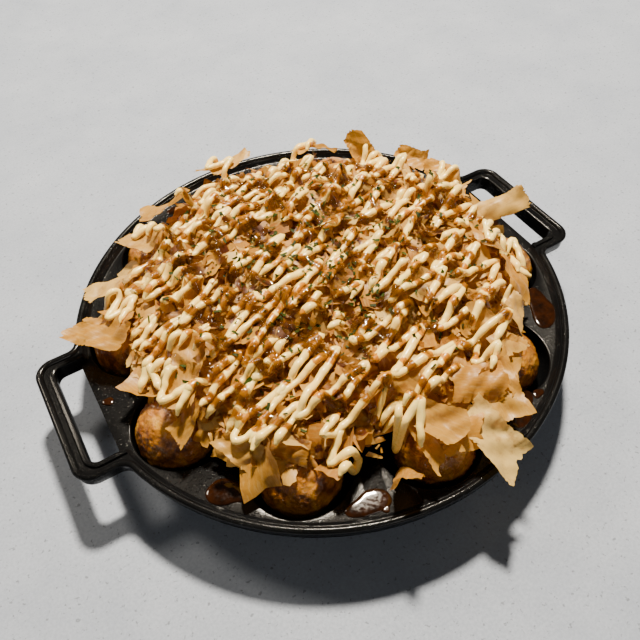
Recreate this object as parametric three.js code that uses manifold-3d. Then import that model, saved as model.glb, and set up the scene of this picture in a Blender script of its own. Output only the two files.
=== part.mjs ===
// Takoyaki balls served in their cast-iron pan, under one heap of toppings.
// Millimetres, +Z up. The origin is on the table under the pan's centre, and the
// two loop handles lie along X.

import * as THREE from 'three';
import { mergeVertices } from 'three/addons/utils/BufferGeometryUtils.js';
import Module from 'manifold-3d';

const wasm = await Module();
wasm.setup();

// Pan body, as radii from the centre and heights above the table
const PAN_RADIUS = 120;
const RIM_TOP = 33;
const PLATE_TOP = 29.4;
const PLATE_RADIUS = 114.6;
const PLATE_UNDERSIDE = 24.4;
const RIM_STEP_Z = 31.6;
const RIM_STEP_RADIUS = 116.4;

// Loop handles
const HANDLE_REACH = 135.5;
const HANDLE_HALF_WIDTH = 35;
const HANDLE_CORNER = 9;
const HANDLE_ROOT_FILLET = 5;
const HOLE_NEAR = 115;
const HOLE_FAR = 127.3;
const HOLE_HALF_WIDTH = 28;
const HOLE_CORNER = 4;
const RIDGE_WIDTH = 2.4;
const RIDGE_TOP = 32.6;

// Wells: one outer ring and one inner ring
const WELL_RADIUS = 23;
const WELL_CENTRE_Z = 27.6;
const WELL_WALL = 3.4;
const WELL_PAD_RADIUS = 9;
const WELL_SEGMENTS = 16;
const SHELL_SEGMENTS = 12;
const OUTER_WELLS = { count: 10, ring: 90.4, firstAngle: 18 };
const INNER_WELLS = { count: 4, ring: 39.6, firstAngle: 45 };

// Takoyaki balls
const BALL_RADIUS = 18.2;
const CONTACT_GAP = 0.35;
const BALL_LUMP = 0.35;
const BALL_SEGMENTS = 12;
const BALL_RINGS = 8;

// Heap of toppings over the balls
const HEAP_RADIUS = 99;
const HEAP_UNDERSIDE = 36;
const HEAP_EDGE_TOP = 45;
const HEAP_TOP = 58;
const HEAP_SHOULDER = 3;
const HEAP_LUMP = 2.2;
const HEAP_SECTORS = 40;
const HEAP_RINGS = 7;
const HEAP_GAP = 0.5;

const castIron = () => new THREE.MeshStandardMaterial({ color: 0x1d1c1c, roughness: 0.42, metalness: 0.6 });
const brownedBatter = () => new THREE.MeshStandardMaterial({ color: 0x8a5418, roughness: 0.35, metalness: 0 });
const bonitoFlakes = () => new THREE.MeshStandardMaterial({ color: 0xd2a878, roughness: 0.6, metalness: 0 });

function toManifold(geometry) {
  const bare = geometry.clone();
  bare.deleteAttribute('normal');
  bare.deleteAttribute('uv');
  const merged = mergeVertices(bare, 1e-4);
  return new wasm.Manifold(new wasm.Mesh({
    numProp: 3,
    vertProperties: new Float32Array(merged.attributes.position.array),
    triVerts: new Uint32Array(merged.index.array),
  }));
}

function toGeometry(manifold) {
  const { vertProperties, triVerts } = manifold.getMesh();
  const geometry = new THREE.BufferGeometry();
  geometry.setAttribute('position', new THREE.BufferAttribute(new Float32Array(vertProperties), 3));
  geometry.setIndex(new THREE.BufferAttribute(new Uint32Array(triVerts), 1));
  geometry.computeVertexNormals();
  return geometry;
}

// A lathe profile is a list of [radius, height] pairs, from the axis back to the axis, turned about Z.
function lathe(profile, segments) {
  const points = profile.map(([r, z]) => new THREE.Vector2(r, z));
  const geometry = new THREE.LatheGeometry(points, segments);
  geometry.rotateX(Math.PI / 2);
  return toManifold(geometry);
}

function arc(cx, cy, radius, fromDegrees, toDegrees, steps) {
  return Array.from({ length: steps + 1 }, (_, i) => {
    const angle = THREE.MathUtils.degToRad(fromDegrees + (toDegrees - fromDegrees) * i / steps);
    return new THREE.Vector2(cx + radius * Math.cos(angle), cy + radius * Math.sin(angle));
  });
}

// The pan's plan outline, moved inwards by an inset. Each quarter runs along the bar of a handle,
// round its corner, through the fillet at the root and on along the rim.
function panOutline(inset) {
  const filletY = HANDLE_HALF_WIDTH + HANDLE_ROOT_FILLET;
  const filletX = Math.sqrt((PAN_RADIUS + HANDLE_ROOT_FILLET) ** 2 - filletY ** 2);
  const rootAngle = THREE.MathUtils.radToDeg(Math.atan2(filletY, filletX));
  const cornerX = HANDLE_REACH - HANDLE_CORNER;
  const cornerY = HANDLE_HALF_WIDTH - HANDLE_CORNER;
  const quarter = [
    ...arc(cornerX, cornerY, HANDLE_CORNER - inset, 0, 90, 5),
    ...arc(filletX, filletY, HANDLE_ROOT_FILLET + inset, 270, 180 + rootAngle, 3),
    ...arc(0, 0, PAN_RADIUS - inset, rootAngle, 90, 12).slice(1),
  ];
  const mirrored = quarter.slice(0, -1).reverse().map((p) => new THREE.Vector2(-p.x, p.y));
  const upperHalf = [...quarter, ...mirrored];
  const lowerHalf = [...upperHalf].reverse().map((p) => new THREE.Vector2(p.x, -p.y));
  return [...upperHalf, ...lowerHalf];
}

// A solid through matching outlines, each at its own height, capped at both ends.
function loft(levels) {
  const count = levels[0].outline.length;
  const positions = levels.flatMap(({ outline, z }) => outline.flatMap((p) => [p.x, p.y, z]));
  const index = [];
  for (let level = 0; level < levels.length - 1; level += 1) {
    for (let i = 0; i < count; i += 1) {
      const a = level * count + i;
      const b = level * count + (i + 1) % count;
      index.push(a, b, b + count, a, b + count, a + count);
    }
  }
  const top = (levels.length - 1) * count;
  THREE.ShapeUtils.triangulateShape(levels[0].outline, []).forEach(([a, b, c]) => index.push(a, c, b));
  THREE.ShapeUtils.triangulateShape(levels.at(-1).outline, [])
    .forEach(([a, b, c]) => index.push(top + a, top + b, top + c));
  const geometry = new THREE.BufferGeometry();
  geometry.setAttribute('position', new THREE.Float32BufferAttribute(positions, 3));
  geometry.setIndex(index);
  return toManifold(geometry);
}

function roundedRectangle(x0, x1, halfWidth, corner) {
  return [
    ...arc(x1 - corner, halfWidth - corner, corner, 0, 90, 3),
    new THREE.Vector2(x0, halfWidth),
    new THREE.Vector2(x0, -halfWidth),
    ...arc(x1 - corner, corner - halfWidth, corner, 270, 360, 3),
  ];
}

function slab(outline, z0, z1) {
  return loft([{ outline, z: z0 }, { outline, z: z1 }]);
}

function wellCentres() {
  return [OUTER_WELLS, INNER_WELLS].flatMap(({ count, ring, firstAngle }) =>
    Array.from({ length: count }, (_, i) => {
      const angle = THREE.MathUtils.degToRad(firstAngle + 360 * i / count);
      return new THREE.Vector3(ring * Math.cos(angle), ring * Math.sin(angle), WELL_CENTRE_Z);
    }));
}

// Points of a bowl's lower half, from its foot up to its widest level
function bowlProfile(radius, fromRadius, steps) {
  const start = Math.asin(fromRadius / radius);
  return Array.from({ length: steps + 1 }, (_, i) => {
    const angle = start + (Math.PI / 2 - start) * i / steps;
    return [radius * Math.sin(angle), -radius * Math.cos(angle)];
  });
}

function wellCavity() {
  const lipZ = PLATE_TOP - WELL_CENTRE_Z;
  const bowl = bowlProfile(WELL_RADIUS, 0, 4);
  return lathe([...bowl, [WELL_RADIUS, lipZ + 6], [0, lipZ + 6]], WELL_SEGMENTS);
}

function wellShell() {
  const outerRadius = WELL_RADIUS + WELL_WALL;
  const shell = bowlProfile(outerRadius, WELL_PAD_RADIUS, 3);
  return lathe([[0, -WELL_CENTRE_Z], [WELL_PAD_RADIUS, -WELL_CENTRE_Z], ...shell, [0, 0]], SHELL_SEGMENTS);
}

// Rim and handle walls: a rounded bead on top, then a slightly drafted side and a chamfered foot
function panBlank() {
  const profile = [
    [3.4, PLATE_UNDERSIDE], [1.2, PLATE_UNDERSIDE + 1.2], [0.6, RIM_STEP_Z - 0.4], [0, RIM_STEP_Z + 0.2],
    [0.4, RIM_TOP - 0.4], [1.7, RIM_TOP], [3.0, RIM_TOP - 0.4], [3.5, RIM_STEP_Z],
  ];
  return loft(profile.map(([inset, z]) => ({ outline: panOutline(inset), z })));
}

function handleCuts() {
  const above = RIM_TOP + 5;
  const hole = slab(roundedRectangle(HOLE_NEAR, HOLE_FAR, HOLE_HALF_WIDTH, HOLE_CORNER), 0, above);
  const landing = slab(roundedRectangle(HOLE_NEAR - 15, HOLE_FAR, HOLE_HALF_WIDTH, HOLE_CORNER), PLATE_TOP, above);
  return hole.add(landing);
}

function handleRidge() {
  const outer = roundedRectangle(
    HOLE_NEAR - 10, HOLE_FAR + RIDGE_WIDTH, HOLE_HALF_WIDTH + RIDGE_WIDTH, HOLE_CORNER + RIDGE_WIDTH);
  return slab(outer, RIM_STEP_Z - 1, RIDGE_TOP);
}

function buildPan() {
  const floor = lathe([
    [0, PLATE_TOP], [PLATE_RADIUS, PLATE_TOP], [RIM_STEP_RADIUS, RIM_STEP_Z], [RIM_STEP_RADIUS, RIM_TOP + 5],
    [0, RIM_TOP + 5]], 60);
  const shell = wellShell();
  const cavity = wellCavity();
  let pan = panBlank();
  for (const side of [0, 180]) pan = pan.add(handleRidge().rotate([0, 0, side]));
  for (const side of [0, 180]) pan = pan.subtract(handleCuts().rotate([0, 0, side]));
  pan = pan.subtract(floor);
  for (const centre of wellCentres()) pan = pan.add(shell.translate(centre.toArray()));
  for (const centre of wellCentres()) pan = pan.subtract(cavity.translate(centre.toArray()));
  return toGeometry(pan);
}

// A ball lies in its bowl-shaped well, leaning from the bottom towards one side.
function ballCentre(well, leanDegrees, towardsDegrees) {
  const reach = WELL_RADIUS - BALL_RADIUS - CONTACT_GAP - BALL_LUMP;
  const lean = THREE.MathUtils.degToRad(leanDegrees);
  const towards = THREE.MathUtils.degToRad(towardsDegrees);
  return new THREE.Vector3(
    well.x + reach * Math.sin(lean) * Math.cos(towards),
    well.y + reach * Math.sin(lean) * Math.sin(towards),
    well.z - reach * Math.cos(lean));
}

// Batter turned in a well is nearly round, with soft lumps.
function ballGeometry(seed) {
  const geometry = new THREE.SphereGeometry(BALL_RADIUS, BALL_SEGMENTS, BALL_RINGS);
  geometry.rotateX(Math.PI / 2);
  const positions = geometry.attributes.position;
  const point = new THREE.Vector3();
  for (let i = 0; i < positions.count; i += 1) {
    point.fromBufferAttribute(positions, i).normalize();
    const wave = Math.sin(3 * point.x + seed) * Math.cos(4 * point.y - 2 * seed) * Math.sin(3 * point.z + 3 * seed);
    point.multiplyScalar(BALL_RADIUS + BALL_LUMP * wave);
    positions.setXYZ(i, point.x, point.y, point.z);
  }
  return toGeometry(toManifold(geometry));
}

// The heap's edge wanders in and out round the pan.
function heapEdge(angle) {
  return HEAP_RADIUS + 3 * Math.sin(2 * angle + 1) + 2.2 * Math.sin(5 * angle) + 1.6 * Math.cos(9 * angle + 2);
}

// A low dome with steep shoulders, which swells a little over each ball
function heapHeight(x, y, share, balls) {
  const dome = HEAP_EDGE_TOP + (HEAP_TOP - HEAP_EDGE_TOP) * (1 - share ** HEAP_SHOULDER);
  const swell = balls.reduce((sum, ball) => {
    const squared = (x - ball.x) ** 2 + (y - ball.y) ** 2;
    return sum + Math.exp(-squared / (0.6 * BALL_RADIUS ** 2));
  }, 0);
  return dome + HEAP_LUMP * swell * (1 - share ** 3);
}

function buildHeap(balls) {
  const positions = [0, 0, HEAP_UNDERSIDE, 0, 0, heapHeight(0, 0, 0, balls)];
  const ringStart = (ring) => 2 + ring * HEAP_SECTORS;
  for (let ring = 0; ring <= HEAP_RINGS; ring += 1) {
    const share = ring === 0 ? 1 : 1 - ((ring - 1) / HEAP_RINGS) ** 1.3;
    for (let i = 0; i < HEAP_SECTORS; i += 1) {
      const angle = 2 * Math.PI * i / HEAP_SECTORS;
      const radius = heapEdge(angle) * share;
      const [x, y] = [radius * Math.cos(angle), radius * Math.sin(angle)];
      positions.push(x, y, ring === 0 ? HEAP_UNDERSIDE : heapHeight(x, y, share, balls));
    }
  }
  const index = [];
  for (let i = 0; i < HEAP_SECTORS; i += 1) {
    const next = (i + 1) % HEAP_SECTORS;
    index.push(0, ringStart(0) + next, ringStart(0) + i);
    for (let ring = 0; ring < HEAP_RINGS; ring += 1) {
      const [a, b] = [ringStart(ring) + i, ringStart(ring) + next];
      index.push(a, b, b + HEAP_SECTORS, a, b + HEAP_SECTORS, a + HEAP_SECTORS);
    }
    index.push(1, ringStart(HEAP_RINGS) + i, ringStart(HEAP_RINGS) + next);
  }
  const geometry = new THREE.BufferGeometry();
  geometry.setAttribute('position', new THREE.Float32BufferAttribute(positions, 3));
  geometry.setIndex(index);
  const clearance = new THREE.SphereGeometry(BALL_RADIUS + BALL_LUMP + HEAP_GAP, BALL_SEGMENTS, BALL_RINGS);
  clearance.rotateX(Math.PI / 2);
  const hollow = toManifold(clearance);
  let heap = toManifold(geometry);
  for (const ball of balls) heap = heap.subtract(hollow.translate(ball.toArray()));
  return toGeometry(heap);
}

// How far each ball leans in its well, and towards which side, in degrees, outer ring first
const BALL_LEANS = [
  [40, 10], [30, 70], [20, 100], [35, 150], [62, 175], [66, 188], [18, 250],
  [48, 300], [12, 310], [62, 350], [20, 30], [15, 120], [25, 220], [10, 330],
];

const takoyaki = new THREE.Group();

const pan = new THREE.Mesh(buildPan(), castIron());
pan.name = 'pan';
takoyaki.add(pan);

const balls = wellCentres().map((well, i) => ballCentre(well, ...BALL_LEANS[i]));
balls.forEach((centre, i) => {
  const ball = new THREE.Mesh(ballGeometry(1 + i), brownedBatter());
  ball.name = `ball_${String(i + 1).padStart(2, '0')}`;
  ball.position.copy(centre);
  takoyaki.add(ball);
});

const topping = new THREE.Mesh(buildHeap(balls), bonitoFlakes());
topping.name = 'topping';
takoyaki.add(topping);

export default takoyaki;
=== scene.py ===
"""Takoyaki balls in a cast-iron pan, under a heap of bonito shavings, mayonnaise, sauce and aonori.

The CAD part is the frame. Shapes are worked out here in millimetres in that frame and turned
into metres when their meshes are made. Every solid is replaced by a finely shaped piece.
"""

import math

import bpy
import numpy as np
from mathutils import Matrix, Vector, noise
from mathutils.bvhtree import BVHTree
from mathutils.kdtree import KDTree


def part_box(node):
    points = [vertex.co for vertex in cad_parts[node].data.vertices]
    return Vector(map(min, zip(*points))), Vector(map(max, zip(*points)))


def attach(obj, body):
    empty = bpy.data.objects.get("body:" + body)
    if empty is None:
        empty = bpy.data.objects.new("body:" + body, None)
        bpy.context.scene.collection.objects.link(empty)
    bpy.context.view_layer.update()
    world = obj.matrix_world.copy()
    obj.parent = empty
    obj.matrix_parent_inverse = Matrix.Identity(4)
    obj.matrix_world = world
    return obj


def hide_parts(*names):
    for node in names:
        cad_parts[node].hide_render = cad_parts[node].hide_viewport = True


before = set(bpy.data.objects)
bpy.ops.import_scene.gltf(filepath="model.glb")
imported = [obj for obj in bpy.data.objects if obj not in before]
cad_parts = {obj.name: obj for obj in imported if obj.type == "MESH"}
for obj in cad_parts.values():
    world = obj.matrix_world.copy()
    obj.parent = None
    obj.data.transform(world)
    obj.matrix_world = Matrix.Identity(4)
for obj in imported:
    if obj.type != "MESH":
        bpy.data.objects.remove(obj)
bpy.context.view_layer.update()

MM = 0.001
TURN = 2 * math.pi


def box_mm(node):
    """The lowest and highest corners of a CAD node, in millimetres."""
    low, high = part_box(node)
    return np.array(low) / MM, np.array(high) / MM


_, PAN_HIGH = box_mm("pan")
HEAP_LOW, HEAP_HIGH = box_mm("topping")
BALL_NODES = sorted(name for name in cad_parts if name.startswith("ball_"))

# Pan, from its centre and up from the table
HANDLE_REACH = PAN_HIGH[0]
PAN_RADIUS = PAN_HIGH[1]
RIM_TOP = PAN_HIGH[2]
PLATE_TOP = RIM_TOP - 3.6
PLATE_UNDERSIDE = PLATE_TOP - 5
PLATE_RADIUS = PAN_RADIUS - 5.4
RIM_STEP_Z = RIM_TOP - 1.4
RIM_STEP_RADIUS = PAN_RADIUS - 3.6
HANDLE_HALF_WIDTH = 35
HANDLE_CORNER = 9
HANDLE_ROOT_FILLET = 5
HOLE_NEAR = 115
HOLE_FAR = 127.3
HOLE_HALF_WIDTH = 28
HOLE_CORNER = 4
RIDGE_WIDTH = 2.6
RIDGE_TOP = RIM_TOP - 0.4
WELL_RADIUS = 23
WELL_LIP = 0.7
WELL_WALL = 3.4
WELL_CENTRE_Z = PLATE_TOP - 1.8
WELL_PAD_RADIUS = 9
WELL_SEGMENTS = 72
WELL_RINGS = ((10, 90.4, 18), (4, 39.6, 45))

# Heap of toppings: a core, loose shavings on it, then the strands of mayonnaise and sauce. Shaving sizes
# are (least, most, share of all). A strand stops where its noise is below its gaps value.
HEAP_EDGE_TOP = 42
HEAP_TOP = HEAP_HIGH[2] - 5.7
HEAP_FOOT = HEAP_LOW[2] + 1
HEAP_RADIUS = 89.5
HEAP_LUMP = 2.4
SHAVING_COUNT = 1700
SHAVING_SIZES = ((6, 11, 0.32), (11, 19, 0.44), (19, 29, 0.24))
SLIVER_COUNT = 420
STRAND_STEP = 0.75
STRAND_HELD_AT = 95
ABOVE_ALL = 120
MAYO_RADIUS = 1.7
MAYO_FLATNESS = 0.86
MAYO_GAPS = -0.5
MAYO_DIRECTION = math.radians(20)
MAYO_PITCH = 5.9
SAUCE_HALF_WIDTH = 2.1
SAUCE_DEPTH = 0.7
SAUCE_SINK = 0.3
SAUCE_DIRECTION = math.radians(-76)
SAUCE_PITCH = 9.6
SAUCE_GAPS = -0.26
SAUCE_COLUMNS = 9
FLECK_COUNT = 700


# ---- Meshes ----


def make_object(name, vertices, faces, material, attributes=None):
    """A smooth mesh object from points in millimetres, with optional attributes on its points."""
    mesh = bpy.data.meshes.new(name)
    faces = [list(map(int, face)) for face in faces]
    mesh.from_pydata((np.asarray(vertices, float) * MM).tolist(), [], faces)
    mesh.validate()
    for key, values in (attributes or {}).items():
        values = np.asarray(values, float)
        kind = "FLOAT_VECTOR" if values.ndim == 2 else "FLOAT"
        field = "vector" if values.ndim == 2 else "value"
        mesh.attributes.new(key, kind, "POINT").data.foreach_set(field, values.ravel())
    mesh.shade_smooth()
    obj = bpy.data.objects.new(name, mesh)
    bpy.context.scene.collection.objects.link(obj)
    if material:
        mesh.materials.append(material)
    return obj


class Parts:
    """Collects many small pieces of surface, to be joined into one mesh."""

    def __init__(self):
        self.vertices, self.faces, self.attributes, self.count = [], [], {}, 0

    def add(self, vertices, faces, **attributes):
        self.vertices.append(vertices)
        self.faces.extend([int(i) + self.count for i in face] for face in faces)
        for key, values in attributes.items():
            self.attributes.setdefault(key, []).append(values)
        self.count += len(vertices)

    def points(self):
        return np.concatenate(self.vertices)

    def make(self, name, material, **extra):
        attributes = {key: np.concatenate(values) for key, values in self.attributes.items()}
        attributes.update(extra)
        return make_object(name, self.points(), self.faces, material, attributes)


def grid_faces(rows, columns, wrap=False):
    """Quads of a grid of points with that many rows and columns, wrapped round its columns or not."""
    r = np.arange(rows - 1)[:, None]
    c = np.arange(columns if wrap else columns - 1)[None, :]
    here = r * columns + c
    there = r * columns + (c + 1) % columns
    return np.stack([here, there, there + columns, here + columns], -1).reshape(-1, 4)


def capped_faces(rows, columns):
    """Faces of a stack of rings of points, with one face over each end."""
    faces = grid_faces(rows, columns, wrap=True).tolist()
    faces.append(list(range(columns))[::-1])
    faces.append(list(range((rows - 1) * columns, rows * columns)))
    return faces


def tipped_faces(rows, columns):
    """Faces of a stack of rings of points, with a fan at each end to a tip. The tips are the last points."""
    faces = grid_faces(rows, columns, wrap=True).tolist()
    first_tip, second_tip = rows * columns, rows * columns + 1
    last = (rows - 1) * columns
    for i in range(columns):
        after = (i + 1) % columns
        faces.append([first_tip, after, i])
        faces.append([second_tip, last + i, last + after])
    return faces


def smooth_noise(points, size, seed, octaves=3):
    """Fractal noise, about -1 to 1, at points in millimetres. Its largest lumps are of that size."""
    shift = Vector((17.3 * seed, -9.1 * seed, 4.7 * seed))
    return np.array([noise.fractal(Vector(p) / size + shift, 0.6, 2.1, octaves) for p in points])


def smoothed(values, reach):
    """A running mean along the first axis, with the ends held."""
    kernel = np.hanning(2 * reach + 3)[1:-1]
    kernel /= kernel.sum()
    padded = np.pad(values, reach, mode="edge")
    return np.convolve(padded, kernel, mode="valid")


def tube(path, radii, sides, flatness):
    """A closed strand along a path, with rounded ends. Flatness below 1 squashes it downwards."""
    tangents = np.gradient(path, axis=0)
    tangents /= np.linalg.norm(tangents, axis=1)[:, None] + 1e-9
    across = np.cross(tangents, [0, 0, 1])
    across /= np.linalg.norm(across, axis=1)[:, None] + 1e-9
    upward = np.cross(across, tangents)
    turn = np.linspace(0, TURN, sides, endpoint=False)
    ring = across[:, None] * np.cos(turn)[None, :, None]
    ring = ring + flatness * upward[:, None] * np.sin(turn)[None, :, None]
    points = (path[:, None] + radii[:, None, None] * ring).reshape(-1, 3)
    tips = [path[0] - tangents[0] * radii[0] * 0.5, path[-1] + tangents[-1] * radii[-1] * 0.5]
    return np.concatenate([points, tips]), tipped_faces(len(path), sides)


# ---- Materials ----


class Nodes:
    """A material's node tree, with short ways to add what the materials here share."""

    def __init__(self, name, **settings):
        self.material = bpy.data.materials.new(name)
        self.material.use_nodes = True
        self.tree = self.material.node_tree
        self.shader = self.tree.nodes["Principled BSDF"]
        for key, value in settings.items():
            self.shader.inputs[key.replace("_", " ")].default_value = value
        self.place = self.add("ShaderNodeTexCoord").outputs["Object"]

    def add(self, kind, **settings):
        node = self.tree.nodes.new(kind)
        for key, value in settings.items():
            setattr(node, key, value)
        return node

    def link(self, source, target):
        if hasattr(source, "is_output"):
            self.tree.links.new(source, target)
        else:
            target.default_value = source

    def noise(self, size, detail=4, roughness=0.6, vector=None, distortion=0.0):
        """Noise from 0 to 1. Its lumps are of that size in millimetres, or in the vector's own units."""
        node = self.add("ShaderNodeTexNoise")
        self.link(vector or self.place, node.inputs["Vector"])
        node.inputs["Scale"].default_value = 1 / size if vector else 1 / (size * MM)
        node.inputs["Detail"].default_value = detail
        node.inputs["Roughness"].default_value = roughness
        node.inputs["Distortion"].default_value = distortion
        return node.outputs["Fac"]

    def cells(self, size):
        """The distance to the middle of the nearest cell, where cells are of that size in millimetres."""
        node = self.add("ShaderNodeTexVoronoi")
        self.link(self.place, node.inputs["Vector"])
        node.inputs["Scale"].default_value = 1 / (size * MM)
        return node.outputs["Distance"]

    def spread(self, value, low, high, to_low=0.0, to_high=1.0):
        """Maps low..high to to_low..to_high with soft ends, held beyond them."""
        node = self.add("ShaderNodeMapRange", interpolation_type="SMOOTHSTEP")
        self.link(value, node.inputs["Value"])
        limits = {"From Min": low, "From Max": high, "To Min": to_low, "To Max": to_high}
        for key, number in limits.items():
            node.inputs[key].default_value = number
        return node.outputs["Result"]

    def ramp(self, value, stops):
        """A colour ramp from (position, colour) stops."""
        node = self.add("ShaderNodeValToRGB")
        elements = node.color_ramp.elements
        while len(elements) < len(stops):
            elements.new(0.5)
        for element, (position, colour) in zip(elements, stops):
            element.position = position
            element.color = (*colour, 1)
        self.link(value, node.inputs["Fac"])
        return node.outputs["Color"]

    def mix(self, share, first, second, blend="MIX"):
        node = self.add("ShaderNodeMix", data_type="RGBA", blend_type=blend)
        self.link(share, node.inputs["Factor"])
        for socket, colour in ((node.inputs["A"], first), (node.inputs["B"], second)):
            self.link(colour if hasattr(colour, "is_output") else (*colour, 1), socket)
        return node.outputs["Result"]

    def maths(self, operation, first, second=0.0):
        node = self.add("ShaderNodeMath", operation=operation)
        self.link(first, node.inputs[0])
        self.link(second, node.inputs[1])
        return node.outputs[0]

    def attribute(self, name, output="Fac"):
        node = self.add("ShaderNodeAttribute", attribute_name=name)
        return node.outputs[output]

    def bump(self, height, depth, strength=1.0, under=None):
        """Relief of that depth in millimetres, on top of another relief if one is given."""
        node = self.add("ShaderNodeBump")
        node.inputs["Strength"].default_value = strength
        node.inputs["Distance"].default_value = depth * MM
        self.link(height, node.inputs["Height"])
        if under:
            self.link(under, node.inputs["Normal"])
        return node.outputs["Normal"]

    def use(self, **sockets):
        for key, source in sockets.items():
            self.link(source, self.shader.inputs[key.replace("_", " ")])
        return self.material


def cast_iron():
    """Seasoned cast iron: black, satin, with the sand's fine grain, oily patches and beads of oil."""
    m = Nodes("cast_iron", Specular_IOR_Level=0.04, Coat_Weight=0.16, Coat_Roughness=0.1)
    grain = m.noise(0.7, detail=3, roughness=0.7)
    patches = m.noise(26, detail=3)
    colour = m.ramp(patches, [(0.3, (0.0022, 0.0023, 0.0026)), (0.75, (0.0055, 0.0057, 0.0062))])
    dust = m.spread(m.noise(0.5, detail=2), 0.66, 0.8, 0, 0.35)
    colour = m.mix(dust, colour, (0.03, 0.028, 0.026))
    oily = m.spread(m.noise(30, detail=6, roughness=0.7), 0.35, 0.65, 0.25, 0.17)
    spattered = m.spread(m.noise(19, detail=3), 0.44, 0.56)
    beads = m.spread(m.noise(1.1, detail=1), 0.58, 0.70)
    relief = m.bump(grain, 0.035, 1)
    relief = m.bump(m.maths("MULTIPLY", beads, spattered), 0.16, 1, relief)
    return m.use(Base_Color=colour, Roughness=oily, Normal=relief, Coat_Normal=relief)


def browned_batter():
    """Batter browned in patches, from golden to dark, under a coat of brushed sauce."""
    m = Nodes("browned_batter", Coat_Weight=1.0, Coat_Roughness=0.04, Specular_IOR_Level=0.3)
    browning = m.noise(9, detail=6, roughness=0.62, distortion=0.6)
    colour = m.ramp(browning, [
        (0.26, (0.030, 0.007, 0.0005)), (0.38, (0.130, 0.034, 0.001)), (0.48, (0.30, 0.100, 0.002)),
        (0.59, (0.42, 0.168, 0.003)), (0.74, (0.53, 0.28, 0.014))])
    specks = m.spread(m.noise(1.4, detail=3), 0.58, 0.72, 0, 0.5)
    colour = m.mix(specks, colour, (0.035, 0.010, 0.003))
    # Painted shade: the colour darkens to near black towards each ball's underside, following the crown
    # attribute.
    colour = m.mix(m.spread(m.attribute("crown"), 0.35, -0.35, 0, 0.85), colour, (0.022, 0.006, 0.002))
    blisters = m.spread(m.cells(2.4), 0.05, 0.6, 1, 0)
    lumps = m.noise(2.1, detail=5, roughness=0.65)
    wet = m.bump(m.noise(1.1, detail=2), 0.22, 1, m.bump(lumps, 0.5, 0.9))
    relief = m.bump(blisters, 0.4, 0.5, m.bump(lumps, 0.9, 0.9))
    gloss = m.spread(m.noise(3.2, detail=3), 0.4, 0.62, 0.35, 0.6)
    return m.use(Base_Color=colour, Roughness=gloss, Normal=relief, Coat_Normal=wet)


def add_stain(m, colour, tint):
    """Sauce on or in a surface, where the stain attribute says. It filters the colour by the tint."""
    uneven = m.spread(m.noise(3.5, detail=2), 0.3, 0.7, -0.2, 0.2)
    soaked = m.maths("ADD", m.attribute("stain"), uneven)
    return m.mix(m.spread(soaked, 0.36, 0.7), colour, tint, "MULTIPLY")


def bonito(name, through):
    """Dried bonito: thin, tan to pinkish, streaked along the cut, and letting some light through."""
    m = Nodes(name, Specular_IOR_Level=0.4, Sheen_Weight=0.12)
    tone = m.attribute("tone")
    along = m.attribute("grain", "Vector")
    squeeze = m.add("ShaderNodeVectorMath", operation="MULTIPLY")
    m.link(along, squeeze.inputs[0])
    squeeze.inputs[1].default_value = (5, 9, 1)
    streaks = m.noise(1, detail=5, roughness=0.65, vector=squeeze.outputs[0])
    colour = m.ramp(tone, [
        (0.0, (0.22, 0.071, 0.003)), (0.25, (0.43, 0.174, 0.009)), (0.5, (0.56, 0.272, 0.022)),
        (0.75, (0.62, 0.350, 0.066)), (1.0, (0.82, 0.58, 0.18))])
    colour = m.mix(m.spread(streaks, 0.45, 0.68, 0, 0.32), colour, (0.80, 0.55, 0.20))
    colour = m.mix(m.spread(m.noise(5, detail=5), 0.5, 0.72, 0, 0.55), colour, (0.32, 0.125, 0.016))
    specks = m.spread(m.noise(0.45, detail=2), 0.68, 0.76, 0, 0.75)
    colour = m.mix(specks, colour, (0.12, 0.045, 0.02))
    colour = add_stain(m, colour, (0.20, 0.078, 0.0015))
    rough = m.spread(streaks, 0.3, 0.7, 0.5, 0.36)
    relief = m.bump(streaks, 0.12, 0.6)
    relief = m.bump(m.noise(2.6, detail=3), 0.4, 0.35, relief)
    m.use(Base_Color=colour, Roughness=rough, Normal=relief)
    glow = m.add("ShaderNodeBsdfTranslucent")
    m.link(colour, glow.inputs["Color"])
    m.link(relief, glow.inputs["Normal"])
    blend = m.add("ShaderNodeMixShader")
    blend.inputs["Fac"].default_value = through
    m.link(m.shader.outputs["BSDF"], blend.inputs[1])
    m.link(glow.outputs["BSDF"], blend.inputs[2])
    m.link(blend.outputs["Shader"], m.tree.nodes["Material Output"].inputs["Surface"])
    return m.material


def mayonnaise():
    """Cream, slightly see-through, with a soft gloss and ripples, amber where sauce lies on it."""
    m = Nodes("mayonnaise", Subsurface_Weight=0.25, Coat_Weight=0.25, Coat_Roughness=0.15)
    m.shader.inputs["Subsurface Radius"].default_value = (1.0, 0.6, 0.3)
    m.shader.inputs["Subsurface Scale"].default_value = 1.2 * MM
    cream = m.ramp(m.noise(7, detail=3), [(0.3, (0.99, 0.66, 0.16)), (0.7, (1.0, 0.75, 0.23))])
    colour = add_stain(m, cream, (0.50, 0.262, 0.002))
    ripple = m.noise(1.1, detail=3)
    relief = m.bump(ripple, 0.15, 0.5)
    return m.use(Base_Color=colour, Roughness=m.spread(ripple, 0.3, 0.7, 0.22, 0.4), Normal=relief)


def brown_sauce(name, thin, thick, alpha):
    """Sweet brown sauce: see-through where it is thin, nearly black where it is thick, and very glossy."""
    m = Nodes(name, Coat_Weight=0.9, Coat_Roughness=0.03, Alpha=alpha, Specular_IOR_Level=0.1)
    depth = m.noise(4, detail=4)
    colour = m.ramp(depth, [(0.32, thick), (0.66, thin)])
    ripple = m.noise(1.5, detail=3)
    relief = m.bump(ripple, 0.03, 0.3)
    return m.use(Base_Color=colour, Roughness=m.spread(ripple, 0.3, 0.7, 0.06, 0.2), Normal=relief,
                 Coat_Normal=relief)


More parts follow.
